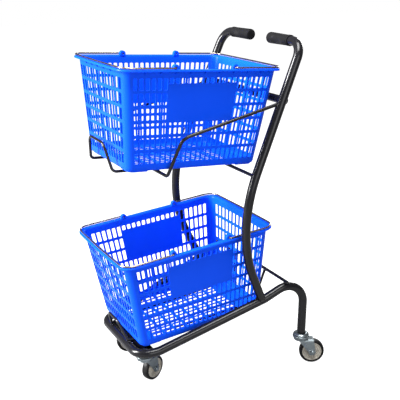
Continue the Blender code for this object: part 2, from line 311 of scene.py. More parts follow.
def sweepMesh(name, points, outline, chamfer=0.0):
    # carries a closed outline of (side, up) points along a path, without twist
    shape = bmesh.new()
    tangents = []
    for i, point in enumerate(points):
        before = points[max(i - 1, 0)]
        after = points[min(i + 1, len(points) - 1)]
        tangents.append((after - before).normalized())
    up = Vector((0, 0, 1)) if abs(tangents[0].z) < 0.9 else Vector((0, 1, 0))
    side = tangents[0].cross(up).normalized()
    rows = []
    for i, (point, tangent) in enumerate(zip(points, tangents)):
        if i:
            side = tangents[i - 1].rotation_difference(tangent) @ side
        side = (side - tangent * side.dot(tangent)).normalized()
        up = side.cross(tangent)
        rows.append([point + side * a + up * b for a, b in outline])
    if chamfer:
        reach = max(math.hypot(a, b) for a, b in outline)
        shrink = 1 - chamfer / reach
        rows[0] = [p + tangents[0] * chamfer for p in rows[0]]
        rows[-1] = [p - tangents[-1] * chamfer for p in rows[-1]]
        rows.insert(0, [points[0] + (p - points[0] - tangents[0] * chamfer) * shrink for p in rows[0]])
        rows.append([points[-1] + (p - points[-1] + tangents[-1] * chamfer) * shrink for p in rows[-1]])
    rings = [[shape.verts.new(p) for p in row] for row in rows]
    count = len(outline)
    for lower, upper in zip(rings, rings[1:]):
        for i in range(count):
            j = (i + 1) % count
            shape.faces.new((lower[i], lower[j], upper[j], upper[i]))
    shape.faces.new(rings[0][::-1])
    shape.faces.new(rings[-1])
    return meshFrom(shape, name)


def circle(radius, count, startDegrees=0.0):
    angles = [math.radians(startDegrees) + math.tau * i / count for i in range(count)]
    return [(radius * math.cos(a), radius * math.sin(a)) for a in angles]


def tubeMesh(name, corners, radius, sides=32, stepDegrees=4.0):
    return sweepMesh(name, roundedPath(corners, stepDegrees), circle(radius, sides), radius * 0.12)


def latheMesh(name, corners, steps=64, stepDegrees=15.0):
    # corners are (radius, height, fillet); an outline that leaves the axis closes on itself
    path = roundedPath([(r, 0.0, z, fillet) for r, z, fillet in corners], stepDegrees)
    profile = [(p.x, p.z) for p in path]
    open_ = profile[0][0] < 1e-6
    shape = bmesh.new()
    rings = []
    for radius, height in profile:
        if radius < 1e-6:
            rings.append([shape.verts.new((0, 0, height))])
        else:
            rings.append([shape.verts.new((a, b, height)) for a, b in circle(radius, steps)])
    pairs = list(zip(rings, rings[1:]))
    if not open_:
        pairs.append((rings[-1], rings[0]))
    for lower, upper in pairs:
        for i in range(steps):
            j = (i + 1) % steps
            near, far = len(lower), len(upper)
            corner = [lower[i % near], lower[j % near], upper[j % far], upper[i % far]]
            unique = list(dict.fromkeys(corner))
            if len(unique) > 2:
                shape.faces.new(unique)
    return meshFrom(shape, name)


def extrudeOutline(name, outline, low, high, bevel=0.0, hole=None):
    # a plate of an XY outline, with an optional hole of as many points
    shape = bmesh.new()
    levels = [[shape.verts.new((x, y, z)) for x, y in outline] for z in (low, high)]
    count = len(outline)
    loops = [levels]
    if hole:
        loops.append([[shape.verts.new((x, y, z)) for x, y in hole] for z in (low, high)])
    for bottom, top in loops:
        for i in range(count):
            j = (i + 1) % count
            shape.faces.new((bottom[i], bottom[j], top[j], top[i]))
    if hole:
        for outer, inner in zip(*loops):
            for i in range(count):
                j = (i + 1) % count
                shape.faces.new((outer[i], outer[j], inner[j], inner[i]))
    else:
        shape.faces.new(levels[0][::-1])
        shape.faces.new(levels[1])
    bmesh.ops.recalc_face_normals(shape, faces=shape.faces)
    if bevel:
        sharp = [e for e in shape.edges if len(e.link_faces) == 2 and e.calc_face_angle(0) > 0.9]
        bmesh.ops.bevel(shape, geom=sharp, offset=bevel, segments=2, profile=0.5, affect="EDGES")
    return meshFrom(shape, name)


def joinMeshes(name, meshes):
    shape = bmesh.new()
    for mesh in meshes:
        shape.from_mesh(mesh)
        bpy.data.meshes.remove(mesh)
    return meshFrom(shape, name, recalculate=False)


# geometry node trees

def newGeometryTree(name, numbers):
    # a tree whose modifier shows each number, object or material under its own name
    tree = bpy.data.node_groups.new(name, "GeometryNodeTree")
    tree.interface.new_socket("Geometry", in_out="INPUT", socket_type="NodeSocketGeometry")
    tree.interface.new_socket("Geometry", in_out="OUTPUT", socket_type="NodeSocketGeometry")
    for label, kind in numbers.items():
        tree.interface.new_socket(label, in_out="INPUT", socket_type="NodeSocket" + kind)
    bench = Bench(tree)
    source = tree.nodes.new("NodeGroupInput")
    given = {item.name: Signal(bench, item) for item in source.outputs if item.name}
    return bench, given


def closeTree(bench, geometry):
    sink = bench.tree.nodes.new("NodeGroupOutput")
    bench.tree.links.new(geometry.socket, sink.inputs[0])


def runTree(name, tree, mesh, values):
    # evaluates the tree on a mesh and returns its result as a plain mesh
    carrier = bpy.data.objects.new(name + "Carrier", mesh)
    bpy.context.scene.collection.objects.link(carrier)
    modifier = carrier.modifiers.new(name, "NODES")
    modifier.node_group = tree
    identifiers = {item.name: item.identifier for item in tree.interface.items_tree if item.in_out == "INPUT"}
    for label, value in values.items():
        modifier[identifiers[label]] = value
    graph = bpy.context.evaluated_depsgraph_get()
    made = bpy.data.meshes.new_from_object(carrier.evaluated_get(graph), depsgraph=graph)
    bpy.data.objects.remove(carrier, do_unlink=True)
    return made


def makeSlotTree():
    # lays a slotted, half-slotted or plain cell on every square of a flat sheet
    bench, given = newGeometryTree("slottedSheet", {
        "Columns": "Int", "Rows": "Int", "Period": "Float", "Long Side Columns": "Float",
        "Corner Columns": "Float", "Short Side Columns": "Float", "Panel Start": "Float",
        "Panel End": "Float", "Panel Bottom Row": "Float", "Top Slot Row": "Float",
        "First Slot Row": "Float", "Slot Cell": "Object", "Short Slot Cell": "Object",
        "Plain Cell": "Object", "Look": "Material"})
    sizeX = given["Columns"] - 1
    sizeY = given["Rows"] - 1
    grid = bench.node("GeometryNodeMeshGrid", None, {
        "Size X": sizeX, "Size Y": sizeY, "Vertices X": given["Columns"], "Vertices Y": given["Rows"]})
    place = bench.node("GeometryNodeInputPosition")
    apart = bench.node("ShaderNodeSeparateXYZ", None, {0: place})
    column = apart + given["Columns"] * 0.5
    row = apart.also("Y") + given["Rows"] * 0.5
    around = column % given["Period"]
    longEnd = given["Long Side Columns"]
    cornerEnd = longEnd + given["Corner Columns"]
    shortEnd = cornerEnd + given["Short Side Columns"]
    isCorner = (around > longEnd) & ((around < cornerEnd) | (around > shortEnd))
    isBand = (row < given["First Slot Row"]) | (row > given["Top Slot Row"] + 1)
    inPanel = (around > given["Panel Start"]) & (around < given["Panel End"])
    isPanel = inPanel & (row > given["Panel Bottom Row"]) & (row < given["Top Slot Row"])
    isPlain = isCorner | isBand | isPanel
    isShort = inPanel & (row > given["Top Slot Row"]) & (1 - isPlain)
    isSlot = (1 - isPlain) & (1 - isShort)
    join = bench.tree.nodes.new("GeometryNodeJoinGeometry")
    for label, chosen in (("Slot Cell", isSlot), ("Short Slot Cell", isShort), ("Plain Cell", isPlain)):
        cell = bench.node("GeometryNodeObjectInfo", None, {"Object": given[label]}, output="Geometry")
        laid = bench.node("GeometryNodeInstanceOnPoints", None,
                          {"Points": grid, "Selection": chosen, "Instance": cell})
        bench.tree.links.new(laid.socket, join.inputs[0])
    real = bench.node("GeometryNodeRealizeInstances", None, {0: Signal(bench, join.outputs[0])})
    merged = bench.node("GeometryNodeMergeByDistance", None, {"Geometry": real, "Distance": 0.002})
    closeTree(bench, bench.node("GeometryNodeSetMaterial", None,
                                {"Geometry": merged, "Material": given["Look"]}))
    return bench.tree


def makeBeadTree():
    # overlapping ripples of weld metal along a wire of edges
    bench, given = newGeometryTree("weldBead", {
        "Ripple Spacing": "Float", "Bead Radius": "Float", "Seed": "Int", "Look": "Material"})
    source = next(n for n in bench.tree.nodes if n.bl_idname == "NodeGroupInput")
    path = bench.node("GeometryNodeMeshToCurve", None, {"Mesh": Signal(bench, source.outputs["Geometry"])})
    even = bench.node("GeometryNodeResampleCurve", {"mode": "LENGTH"},
                      {"Curve": path, "Length": given["Ripple Spacing"]})
    ball = bench.node("GeometryNodeMeshIcoSphere", None,
                      {"Radius": given["Bead Radius"], "Subdivisions": 2})
    tangent = bench.node("GeometryNodeInputTangent")
    turn = bench.node("FunctionNodeAlignRotationToVector", {"axis": "X"}, {"Vector": tangent})
    spread = bench.node("FunctionNodeRandomValue", {"data_type": "FLOAT"},
                        {"Min": 0.82, "Max": 1.12, "Seed": given["Seed"]}, output=1)
    size = bench.node("ShaderNodeCombineXYZ", None, {"X": spread * 0.6, "Y": spread, "Z": spread})
    laid = bench.node("GeometryNodeInstanceOnPoints", None,
                      {"Points": even, "Instance": ball, "Rotation": turn, "Scale": size})
    real = bench.node("GeometryNodeRealizeInstances", None, {0: laid})
    smooth = bench.node("GeometryNodeSetShadeSmooth", None, {0: real})
    closeTree(bench, bench.node("GeometryNodeSetMaterial", None,
                                {"Geometry": smooth, "Material": given["Look"]}))
    return bench.tree


# frame tubes

frameTubes = {
    "tubeRadius": 0.0125,
    "rodRadius": 0.0047,
    "cradleRadius": 0.0040,
    "barRadius": 0.0110,
    "foot": (0.1862, 0.1130, 0.2280),
    "knee": (0.2185, 0.0030, 0.4620),
    "handle": (0.2010, 0.2035, 0.9570),
    "stubEnd": 0.0513,
    "leg": (0.2000, 0.2517, 0.2905),
    "legBottom": 0.0979,
    "kink": (0.1875, 0.1250, 0.2290),
    "nose": (0.1400, -0.1940, 0.1150),
    "noseY": -0.2515,
    "hoopEnd": (0.2045, 0.1265, 0.7984),
}


def buildFrameTubes():
    spec = frameTubes
    radius = spec["tubeRadius"]
    base = [
        (*spec["leg"][:2], spec["legBottom"], 0.0),
        (*spec["leg"], 0.058),
        (*spec["kink"], 0.110),
        (*spec["nose"], 0.060),
        (0.1300, spec["noseY"], 0.1090, 0.048),
    ]
    addPiece("baseTube", tubeMesh("baseTube", mirrored(base), radius), "frame_paint", "frame", ["base_tube"])
    for side, way in sides:
        foot, knee, handle = [(way * spec[key][0], *spec[key][1:]) for key in ("foot", "knee", "handle")]
        upright = [
            (foot[0], foot[1], foot[2] + 0.0040, 0.0),
            (*knee, 0.380),
            (*handle, 0.045),
            (way * spec["stubEnd"], *handle[1:], 0.0),
        ]
        mesh = tubeMesh("upright_" + side, upright, radius, stepDegrees=2.5)
        addPiece("uprightTube_" + side, mesh, "frame_paint", "frame", ["upright_" + side])
    bars = {"back_bar": (0.2010, 0.1562, 0.8055, spec["barRadius"]),
            "shelf_cross_bar": (0.2060, 0.0600, 0.6106, spec["rodRadius"]),
            "rear_cross_bar": (0.2040, 0.1900, 0.2730, spec["rodRadius"])}
    for node, (reach, y, z, barRadius) in bars.items():
        mesh = tubeMesh(node, [(reach, y, z, 0.0), (0.0, y, z, 0.0), (-reach, y, z, 0.0)], barRadius, 24)
        addPiece(node + "Smooth", mesh, "frame_paint", "frame", [node])
    hoop = [(*spec["hoopEnd"], 0.0), (0.1870, -0.1440, 0.7305, 0.032), (0.1380, -0.1640, 0.6208, 0.016)]
    upperCradle = [(0.0790, 0.0660, 0.6194, 0.0), (0.0790, -0.2940, 0.6360, 0.014),
                   (0.0490, -0.3075, 0.7090, 0.030)]
    lowerCradle = [(0.0880, 0.1876, 0.2678, 0.0), (0.0880, 0.1510, 0.1682, 0.020),
                   (0.0700, -0.2250, 0.1302, 0.030), (0.0600, -0.2530, 0.1272, 0.010),
                   (0.0360, -0.2720, 0.1790, 0.026)]
    wires = {"upper_side_hoop": (hoop, spec["rodRadius"]),
             "upper_cradle_wire": (upperCradle, spec["cradleRadius"]),
             "lower_cradle_wire": (lowerCradle, spec["cradleRadius"])}
    for node, (corners, wireRadius) in wires.items():
        mesh = tubeMesh(node, mirrored(corners), wireRadius, 20)
        addPiece(node + "Smooth", mesh, "frame_paint", "frame", [node])


def saddleLoop(barPoint, barAxis, barRadius, tubePoint, tubeAxis, tubeRadius, count=40):
    # where the skin of a bar meets the skin of a tube, walking round the bar
    barAxis = barAxis.normalized()
    tubeAxis = tubeAxis.normalized()
    side = barAxis.orthogonal().normalized()
    other = barAxis.cross(side)
    loop = []
    missed = -1
    for i in range(count):
        angle = math.tau * i / count
        start = barPoint + side * barRadius * math.cos(angle) + other * barRadius * math.sin(angle)
        offset = start - tubePoint
        flatStart = offset - tubeAxis * offset.dot(tubeAxis)
        flatWay = barAxis - tubeAxis * barAxis.dot(tubeAxis)
        a = flatWay.dot(flatWay)
        b = 2 * flatStart.dot(flatWay)
        c = flatStart.dot(flatStart) - tubeRadius ** 2
        inside = b * b - 4 * a * c
        if inside < 0:
            missed = i
        loop.append(start + barAxis * (-b - math.sqrt(max(inside, 0.0))) / (2 * a) if inside > 0 else None)
    if missed < 0:
        return loop, True
    # the bar overhangs the tube on one side, so the bead is open there
    loop = loop[missed:] + loop[:missed]
    return [point for point in loop if point], False


welds = {
    "barEnds": (("barRadius", 0.1562, 0.8055), ("rodRadius", 0.0600, 0.6106)),
    "barStart": 0.15,
    "hoopFrom": (0.1870, -0.1440, 0.7305),
    "spotHalfGap": 0.0042,                  # two short beads, one each side of the joint
    "railSpot": ((0.1975, 0.1900, 0.2695), 0.006),
    "wireSpots": (
        ((0.0790, 0.0600, 0.6156), 0.003),
        ((0.0790, -0.1640, 0.6254), 0.003),
        ((0.0880, 0.1888, 0.2680), 0.002),
        ((0.0605, -0.2515, 0.1225), 0.003),
    ),
    "rippleSpacing": 0.0011,
    "beadRadius": 0.0017,
    "seed": 4,
}


def buildWelds():
    spec = frameTubes
    tube = spec["tubeRadius"]
    loops = []
    spots = []
    for _, way in sides:
        foot, knee, handle, kink, nose, hoopEnd = [
            Vector((way * spec[key][0], spec[key][1], spec[key][2]))
            for key in ("foot", "knee", "handle", "kink", "nose", "hoopEnd")]
        lean = handle - knee
        toFoot = (foot - knee).normalized()
        loops.append(saddleLoop(foot - toFoot * 0.05, toFoot, tube, kink, nose - kink, tube, 64))
        for key, y, z in welds["barEnds"]:
            start = Vector((way * welds["barStart"], y, z))
            loops.append(saddleLoop(start, Vector((way, 0, 0)), spec[key], knee, lean, tube))
        x, y, z = welds["hoopFrom"]
        hoopFrom = Vector((way * x, y, z))
        loops.append(saddleLoop(hoopEnd + (hoopFrom - hoopEnd) * 0.2, hoopEnd - hoopFrom,
                                spec["rodRadius"], knee, lean, tube))
        for across in (-welds["spotHalfGap"], welds["spotHalfGap"]):
            (x, y, z), step = welds["railSpot"]
            spots.append([Vector((way * (x + k * step), y + across, z)) for k in (-1, 0, 1)])
            for (x, y, z), step in welds["wireSpots"]:
                spots.append([Vector((way * x + across, y + k * step, z)) for k in (-1, 0, 1)])
    mesh = bpy.data.meshes.new("weldPaths")
    points, edges = [], []
    for path, closed in loops + [(spot, False) for spot in spots]:
        first = len(points)
        points += [tuple(p) for p in path]
        edges += [(first + i, first + i + 1) for i in range(len(path) - 1)]
        if closed:
            edges.append((first + len(path) - 1, first))
    mesh.from_pydata(points, edges, [])
    values = {"Ripple Spacing": welds["rippleSpacing"], "Bead Radius": welds["beadRadius"],
              "Seed": welds["seed"], "Look": looks["frame_paint"]}
    addPiece("weldBeads", runTree("weldBead", makeBeadTree(), mesh, values), "frame_paint", "frame")


def buildGrips():
    # moulded sleeve: rounded closed end, raised collar and shallow rings at the open end
    for side, way in sides:
        low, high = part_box("grip_" + side)
        length = high.x - low.x
        radius = (high.z - low.z) / 2
        slim = radius - 0.0011
        corners = [(0.0, length, 0.0), (radius, length, 0.0060), (radius - 0.0002, length - 0.016, 0.0),
                   (slim, 0.0110, 0.0), (slim + 0.0005, 0.0100, 0.0), (slim + 0.0005, 0.0070, 0.0),
                   (slim - 0.0003, 0.0060, 0.0), (slim - 0.0003, 0.0046, 0.0), (slim + 0.0006, 0.0036, 0.0),
                   (slim + 0.0006, 0.0, 0.0012),
                   (0.0128, 0.0, 0.0), (0.0128, length - 0.003, 0.0), (0.0, length - 0.003, 0.0)]
        mesh = latheMesh("grip_" + side, corners, 48)
        outerEnd = high.x if way > 0 else low.x
        place = Matrix.Translation((outerEnd, (low.y + high.y) / 2, (low.z + high.z) / 2))
        turn = Matrix.Rotation(math.radians(-90 * way), 4, "Y")
        addPiece("gripSleeve_" + side, mesh, "grip_rubber", "frame", ["grip_" + side], place @ turn)


buildFrameTubes()
buildWelds()
buildGrips()
print("frame tubes, welds and grips made")


# castors

castor = {
    "top": 0.0976,
    "wheelRadius": 0.0373,
    "trail": 0.0340,
    "cheekBack": 0.0370,
    "cheekX": 0.0148,
    "sheet": 0.0025,
    "headMiddle": 0.0775,
    "bend": 0.0050,
    "bossRadius": 0.0105,
}


def forkMesh(name):
    # one pressed strip: down one cheek, over the wheel and down the other
    spec = castor
    top, bend, cheekX = spec["headMiddle"], spec["bend"], spec["cheekX"]
    axle, boss = spec["wheelRadius"], spec["bossRadius"]
    half = []
    for i in range(1, 8):
        angle = math.radians(90 * i / 8)
        half.append((cheekX, axle - boss * math.cos(angle), boss * math.sin(angle)))
    for i in range(9):
        half.append((cheekX, axle + (top - bend - axle) * i / 8, None))
    for i in range(1, 7):
        angle = math.radians(90 * i / 6)
        half.append((cheekX - bend * (1 - math.cos(angle)), top - bend * (1 - math.sin(angle)), None))
    half.append((cheekX * 0.35, top, None))
    strip = half + [(-x, z, width) for x, z, width in reversed(half)]
    depth = 9
    shape = bmesh.new()
    rows = []
    for x, z, width in strip:
        if width is None:
            share = (z - axle) / (top - axle)
            front = spec["trail"] - boss + (-0.0095 - spec["trail"] + boss) * share
            rear = spec["trail"] + boss + (spec["cheekBack"] - spec["trail"] - boss) * share
        else:
            front = spec["trail"] - width
            rear = spec["trail"] + width
        rows.append([shape.verts.new((x, front + (rear - front) * k / (depth - 1), z)) for k in range(depth)])
    for lower, upper in zip(rows, rows[1:]):
        for i in range(depth - 1):
            shape.faces.new((lower[i], lower[i + 1], upper[i + 1], upper[i]))
    sheet = meshFrom(shape, name)
    return thicken(name, sheet, spec["sheet"], 0.0, 0.0005)


def thicken(name, mesh, thickness, offset, bevel=0.0):
    carrier = bpy.data.objects.new(name + "Carrier", mesh)
    bpy.context.scene.collection.objects.link(carrier)
    solid = carrier.modifiers.new("wall", "SOLIDIFY")
    solid.thickness = thickness
    solid.offset = offset
    solid.use_even_offset = True
    solid.use_quality_normals = True
    if bevel:
        soft = carrier.modifiers.new("edge", "BEVEL")
        soft.width = bevel
        soft.segments = 1
        soft.limit_method = "ANGLE"
        soft.angle_limit = math.radians(50)
        soft.use_clamp_overlap = True
    graph = bpy.context.evaluated_depsgraph_get()
    made = bpy.data.meshes.new_from_object(carrier.evaluated_get(graph), depsgraph=graph)
    bpy.data.objects.remove(carrier, do_unlink=True)
    return made


def hexNut(name, across, low, high, bore):
    # a nut whose corners are turned off at top and bottom
    count = 48
    outline = []
    for a, b in circle(1.0, count):
        angle = math.atan2(b, a) % math.radians(60) - math.radians(30)
        reach = across / 2 / math.cos(angle)
        outline.append((a * reach, b * reach))
    return extrudeOutline(name, outline, low, high, 0.0004, circle(bore, count))


def buildCastor(corner):
    spec = castor
    swivel = jointFacts["castor_%s_swivel" % corner]
    roll = jointFacts["castor_%s_roll" % corner]
    stem = Vector((swivel["pos_m"][0], swivel["pos_m"][1], 0.0))
    turn = math.atan2(roll["axis"][1], roll["axis"][0])
    pivot = Matrix.Translation(stem) @ Matrix.Rotation(turn, 4, "Z")
    outward = 1 if stem.x > 0 else -1
    axle = pivot @ Matrix.Translation((0, spec["trail"], spec["wheelRadius"]))
    axle = axle @ Matrix.Rotation(math.radians(90 * outward), 4, "Y")
    node = "castor_%s_" % corner
    top = spec["top"]

    cap = [(0.0, top, 0), (0.0160, top, 0.0006), (0.0185, top - 0.0010, 0.0012),
           (0.0225, top - 0.0032, 0.0012), (0.0225, top - 0.0070, 0.0005), (0.0196, top - 0.0070, 0),
           (0.0, top - 0.0070, 0)]
    addPiece(node + "capTurned", latheMesh(node + "cap", cap), "zinc", "frame", [node + "cap"],
             Matrix.Translation(stem))

    high = top - 0.0073
    race = [(0.0, high, 0), (0.0236, high, 0.0010), (0.0247, high - 0.0012, 0.0006),
            (0.0247, high - 0.0058, 0.0010), (0.0222, high - 0.0078, 0.0014), (0.0216, high - 0.0113, 0.0008),
            (0.0, high - 0.0113, 0)]
    body = "swivel_" + corner
    addPiece(node + "raceTurned", latheMesh(node + "race", race), "zinc", body, [node + "race"], pivot)

    head = [(0.0, 0.0787, 0), (0.0215, 0.0787, 0.0006), (0.0215, 0.0762, 0.0006), (0.0150, 0.0757, 0.0010),
            (0.0075, 0.0757, 0.0), (0.0068, 0.0730, 0.0012), (0.0, 0.0730, 0)]
    boss = [(0.0044, -0.0006, 0), (0.0092, -0.0006, 0.0003), (0.0092, 0.0004, 0.0003), (0.0044, 0.0004, 0)]
    pieces = [forkMesh(node + "fork"), latheMesh(node + "head", head)]
    for way in (1, -1):
        mesh = latheMesh(node + "boss", boss, 40)
        place = Matrix.Translation((way * 0.0162, spec["trail"], spec["wheelRadius"]))
        mesh.transform(place @ Matrix.Rotation(math.radians(90), 4, "Y"))
        pieces.append(mesh)
    fork = joinMeshes(node + "forkPressed", pieces)
    addPiece(node + "forkPressed", fork, "zinc", body, [node + "fork"], pivot)

    bolt = [(0.0, 0.0210, 0), (0.0030, 0.0210, 0.0010), (0.0064, 0.0196, 0.0022), (0.0066, 0.0170, 0.0004),
            (0.0040, 0.0168, 0), (0.0040, -0.0225, 0.0006), (0.0, -0.0225, 0)]
    addPiece(node + "boltDomed", latheMesh(node + "bolt", bolt, 40), "zinc", body, [node + "axle_bolt"], axle)
    nut = hexNut(node + "nut", 0.0125, -0.0208, -0.0168, 0.0041)
    addPiece(node + "nutHex", nut, "zinc", body, [node + "axle_nut"], axle)

    half = [(0.0288, 0.0100, 0.0004), (0.0262, 0.0100, 0.0003), (0.0254, 0.0080, 0.0004),
            (0.0232, 0.0080, 0.0004), (0.0226, 0.0093, 0.0003), (0.0202, 0.0093, 0.0003),
            (0.0194, 0.0072, 0.0006), (0.0172, 0.0072, 0.0005), (0.0166, 0.0086, 0.0003),
            (0.0150, 0.0086, 0.0003), (0.0142, 0.0066, 0.0006), (0.0112, 0.0066, 0.0008),
            (0.0104, 0.0112, 0.0006), (0.0043, 0.0115, 0)]
    hub = half + [(radius, -height, fillet) for radius, height, fillet in reversed(half)]
    wheelBody = "wheel_" + corner
    addPiece(node + "hubRinged", latheMesh(node + "hub", hub), "castor_hub", wheelBody, [node + "hub"], axle)

    tyreHalf = [(0.0291, 0.0095, 0), (0.0304, 0.0108, 0.0006), (0.0320, 0.0107, 0.0006),
                (0.0326, 0.0102, 0.0003), (0.0336, 0.0106, 0.0006), (0.0362, 0.0088, 0.0020),
                (0.0372, 0.0050, 0.0080), (0.0373, 0.0004, 0)]
    tyre = tyreHalf + [(radius, -height, fillet) for radius, height, fillet in reversed(tyreHalf)]
    addPiece(node + "tyreMoulded", latheMesh(node + "tyre", tyre, 96), "castor_tyre", wheelBody,
             [node + "tyre"], axle)


for corner in ("front_left", "front_right", "rear_left", "rear_right"):
    buildCastor(corner)


def buildNosePlate():
    low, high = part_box("castor_plate")
    half = [(0.1220, -0.2405, 0.0, 0.036), (0.1235, -0.2080, 0.0, 0.010), (0.1360, -0.1905, 0.0, 0.0)]
    path = roundedPath(mirrored(half[::-1]), 8.0)
    mesh = extrudeOutline("nosePlate", [(p.x, p.y) for p in path], low.z, high.z, 0.0006)
    addPiece("nosePlate", mesh, "frame_paint", "frame", ["castor_plate"])
    for side, _ in sides:
        low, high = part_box("plate_bolt_" + side)
        head = [(0.0, 0.0030, 0), (0.0024, 0.0029, 0.0012), (0.0052, 0.0012, 0.0010), (0.0052, 0.0, 0),
                (0.0, 0.0, 0)]
        place = Matrix.Translation(((low.x + high.x) / 2, (low.y + high.y) / 2, low.z))
        bolt = latheMesh("domedBolt", head, 32)
        addPiece("domedBolt_" + side, bolt, "zinc", "frame", ["plate_bolt_" + side], place)
        low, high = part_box("stem_nut_" + side)
        middle = Matrix.Translation(((low.x + high.x) / 2, (low.y + high.y) / 2, low.z))
        washer = [(0.0050, 0.0, 0), (0.0082, 0.0, 0.0002), (0.0082, 0.0012, 0.0002), (0.0050, 0.0012, 0)]
        stud = [(0.0, 0.0068, 0), (0.0048, 0.0068, 0.0008), (0.0048, 0.0, 0), (0.0, 0.0, 0)]
        nut = [hexNut("stemNut", 0.0130, 0.0013, 0.0060, 0.0049), latheMesh("stemWasher", washer, 40),
               latheMesh("stemStud", stud, 32)]
        stemNut = joinMeshes("stemNutHex", nut)
        addPiece("stemNutHex_" + side, stemNut, "zinc", "frame", ["stem_nut_" + side], middle)


buildNosePlate()
print("castors and nose plate made")


# baskets

basket = {
    "floorHalf": (0.1375, 0.1935, 0.022),   # half width, half length and corner radius at the floor
    "topHalf": (0.1670, 0.2240, 0.025),     # the same just under the rim
    "floorZ": 0.0020,
    "topZ": 0.2660,
    "bow": 0.0030,
    "wall": 0.0025,
    "longColumns": 24,
    "shortColumns": 14,
    "cornerColumns": 4,
    "overhang": 0.0040,                     # how far the slots run into the rounded corners
    "panelColumns": (6, 18),
    "pivotZ": 0.2720,
    "lug": (0.1625, 0.1740),                # inner and outer face of the lugs
    "bailX": 0.1775,
    "bailReach": 0.1465,
    "pivotY": 0.0860,
}
# (row of the flat sheet, how far out from the wall's line, height) round the floor's edge and over the rim
sheetProfile = [
    (0.00, -0.0140, 0.0030), (0.25, -0.0080, 0.0030), (0.75, -0.0036, 0.0036), (1.00, -0.0016, 0.0052),
    (1.25, -0.0005, 0.0078), (1.75, 0.0000, 0.0110), (2.00, 0.0000, 0.0190),
    (8.00, 0.0000, 0.2500), (9.00, 0.0000, 0.2620), (9.25, 0.0003, 0.2640), (9.75, 0.0014, 0.2654),
    (10.00, 0.0030, 0.2660), (10.25, 0.0100, 0.2660), (10.75, 0.0118, 0.2654), (11.00, 0.0120, 0.2630),
]


def cellMesh(name, low, high, halfWidth=0.33, radiusX=0.16, radiusY=0.070):
    # a unit cell of the sheet; its slot runs from low to high, or there is none when low equals high
    split = 0.25
    shape = bmesh.new()

    def point(x, y):
        return shape.verts.new((x, y, 0.0))

    left = [point(-0.5, y) for y in (-0.5, -split, split, 0.5)]
    right = [point(0.5, y) for y in (-0.5, -split, split, 0.5)]
    bottom, top = point(0.0, -0.5), point(0.0, 0.5)
    if low == high:
        lower, upper = point(0.0, -split), point(0.0, split)
        middle = [bottom, lower, upper, top]
        for i in range(3):
            shape.faces.new((left[i], middle[i], middle[i + 1], left[i + 1]))
            shape.faces.new((middle[i], right[i], right[i + 1], middle[i + 1]))
    else:
        arcs = []
        for signX, signY, start in ((1, 1, 0), (-1, 1, 90), (-1, -1, 180), (1, -1, 270)):
            centreX = signX * (halfWidth - radiusX)
            centreY = (high - radiusY) if signY > 0 else (low + radiusY)
            arcs.append([point(centreX + radiusX * math.cos(math.radians(start + 30 * k)),
                               centreY + radiusY * math.sin(math.radians(start + 30 * k))) for k in range(4)])
        upRight, upLeft, downLeft, downRight = arcs
        shape.faces.new((right[2], right[3], top, *upRight[::-1]))
        shape.faces.new((top, left[3], left[2], *upLeft[::-1]))
        shape.faces.new((left[1], left[0], bottom, *downLeft[::-1]))
        shape.faces.new((bottom, right[0], right[1], *downRight[::-1]))
        shape.faces.new((top, upLeft[0], upRight[3]))
        shape.faces.new((bottom, downRight[0], downLeft[3]))
        shape.faces.new((left[2], left[1], downLeft[0], upLeft[3]))
        shape.faces.new((right[1], right[2], upRight[0], downRight[3]))
    for face in shape.faces:
        if face.normal.z < 0:
            face.normal_flip()
    return meshFrom(shape, name, recalculate=False)


def hiddenCell(name, *sizes):
    cell = bpy.data.objects.new(name, cellMesh(name, *sizes))
    bpy.context.scene.collection.objects.link(cell)
    return cell


def outlineAt(offset, height):
    spec = basket
    share = (height - spec["floorZ"]) / (spec["topZ"] - spec["floorZ"])
    share = min(max(share, 0.0), 1.0)
    halfX, halfY, radius = [a + (b - a) * share + offset for a, b in zip(spec["floorHalf"], spec["topHalf"])]
    return halfX, halfY, max(radius, 0.004), spec["bow"] * share


def roundSheet(column, offset, height):
    # the place round the basket of a point of the flat sheet
    spec = basket
    halfX, halfY, radius, bow = outlineAt(offset, height)
    flatX, flatY = halfX - radius, halfY - radius
    longEnd = spec["longColumns"]
    cornerEnd = longEnd + spec["cornerColumns"]
    shortEnd = cornerEnd + spec["shortColumns"]
    period = shortEnd + spec["cornerColumns"]
    over = spec["overhang"] * radius / spec["topHalf"][2]
    bend = over / radius
    halfTurn = int(column // period) % 2
    around = column % period
    if around <= longEnd:
        along = (around / longEnd * 2 - 1) * (flatY + over)
        angle = max(abs(along) - flatY, 0.0) / radius
        x = flatX + radius * math.cos(angle)
        y = math.copysign(min(abs(along), flatY) + radius * math.sin(angle), along)
    elif around < cornerEnd:
        angle = bend + (around - longEnd) / spec["cornerColumns"] * (math.pi / 2 - 2 * bend)
        x = flatX + radius * math.cos(angle)
        y = flatY + radius * math.sin(angle)
    elif around <= shortEnd:
        along = (1 - (around - cornerEnd) / spec["shortColumns"] * 2) * (flatX + over)
        angle = max(abs(along) - flatX, 0.0) / radius
        x = math.copysign(min(abs(along), flatX) + radius * math.sin(angle), along)
        y = flatY + radius * math.cos(angle) + bow * max(0.0, 1 - (x / flatX) ** 2)
    else:
        angle = math.pi / 2 + bend + (around - shortEnd) / spec["cornerColumns"] * (math.pi / 2 - 2 * bend)
        x = -flatX + radius * math.cos(angle)
        y = flatY + radius * math.sin(angle)
    return Vector((-x, -y, height)) if halfTurn else Vector((x, y, height))


def profileAt(row):
    for (rowA, outA, heightA), (rowB, outB, heightB) in zip(sheetProfile, sheetProfile[1:]):
        if row <= rowB + 1e-6:
            share = min(max((row - rowA) / (rowB - rowA), 0.0), 1.0)
            return outA + (outB - outA) * share, heightA + (heightB - heightA) * share
    return sheetProfile[-1][1:]


